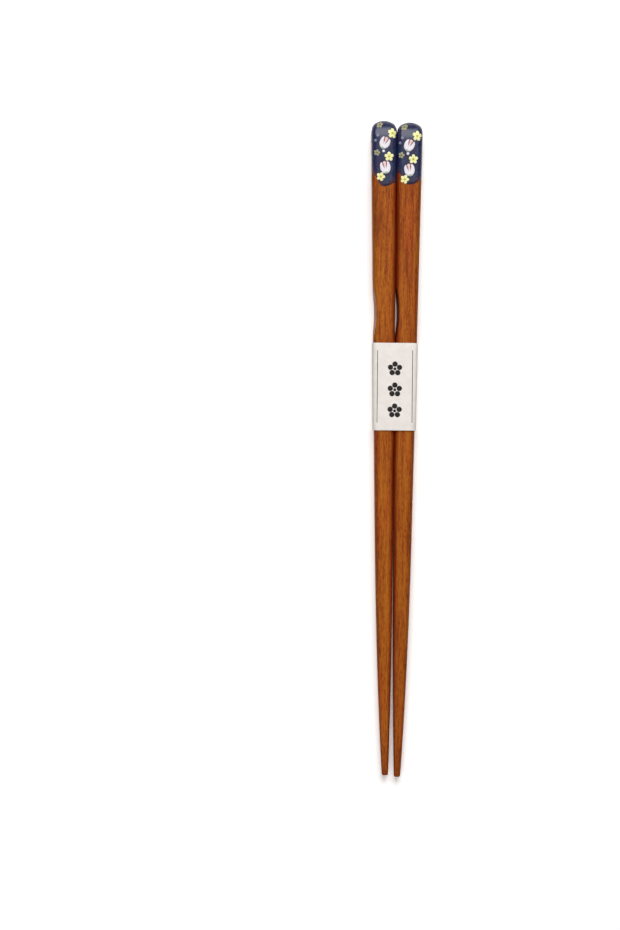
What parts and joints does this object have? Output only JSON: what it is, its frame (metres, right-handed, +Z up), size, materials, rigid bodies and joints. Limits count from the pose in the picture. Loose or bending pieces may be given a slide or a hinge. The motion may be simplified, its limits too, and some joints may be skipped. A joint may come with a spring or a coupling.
{
  "type": "pair of chopsticks",
  "caption": "Pair of tapered wooden chopsticks with lacquered tops and finger scoops, lying side by side in a folded paper band.",
  "frame": {"origin": "on the table, under the middle of the pair as it lies", "axes": "+Y along the pair from the tips to the lacquered tops, +X to the right as the pair lies, +Z up"},
  "size_m": [0.0176, 0.2256, 0.0091],
  "materials": {
    "oiled_wood": "satin",
    "blue_lacquer": "gloss",
    "blossom_print": "satin",
    "bud_print": "satin",
    "band_paper": "matte"
  },
  "bodies": {
    "root": {"chopstick_left": "oiled_wood", "chopstick_right": "oiled_wood", "paper_band": "band_paper"}
  },
  "joints": []
}
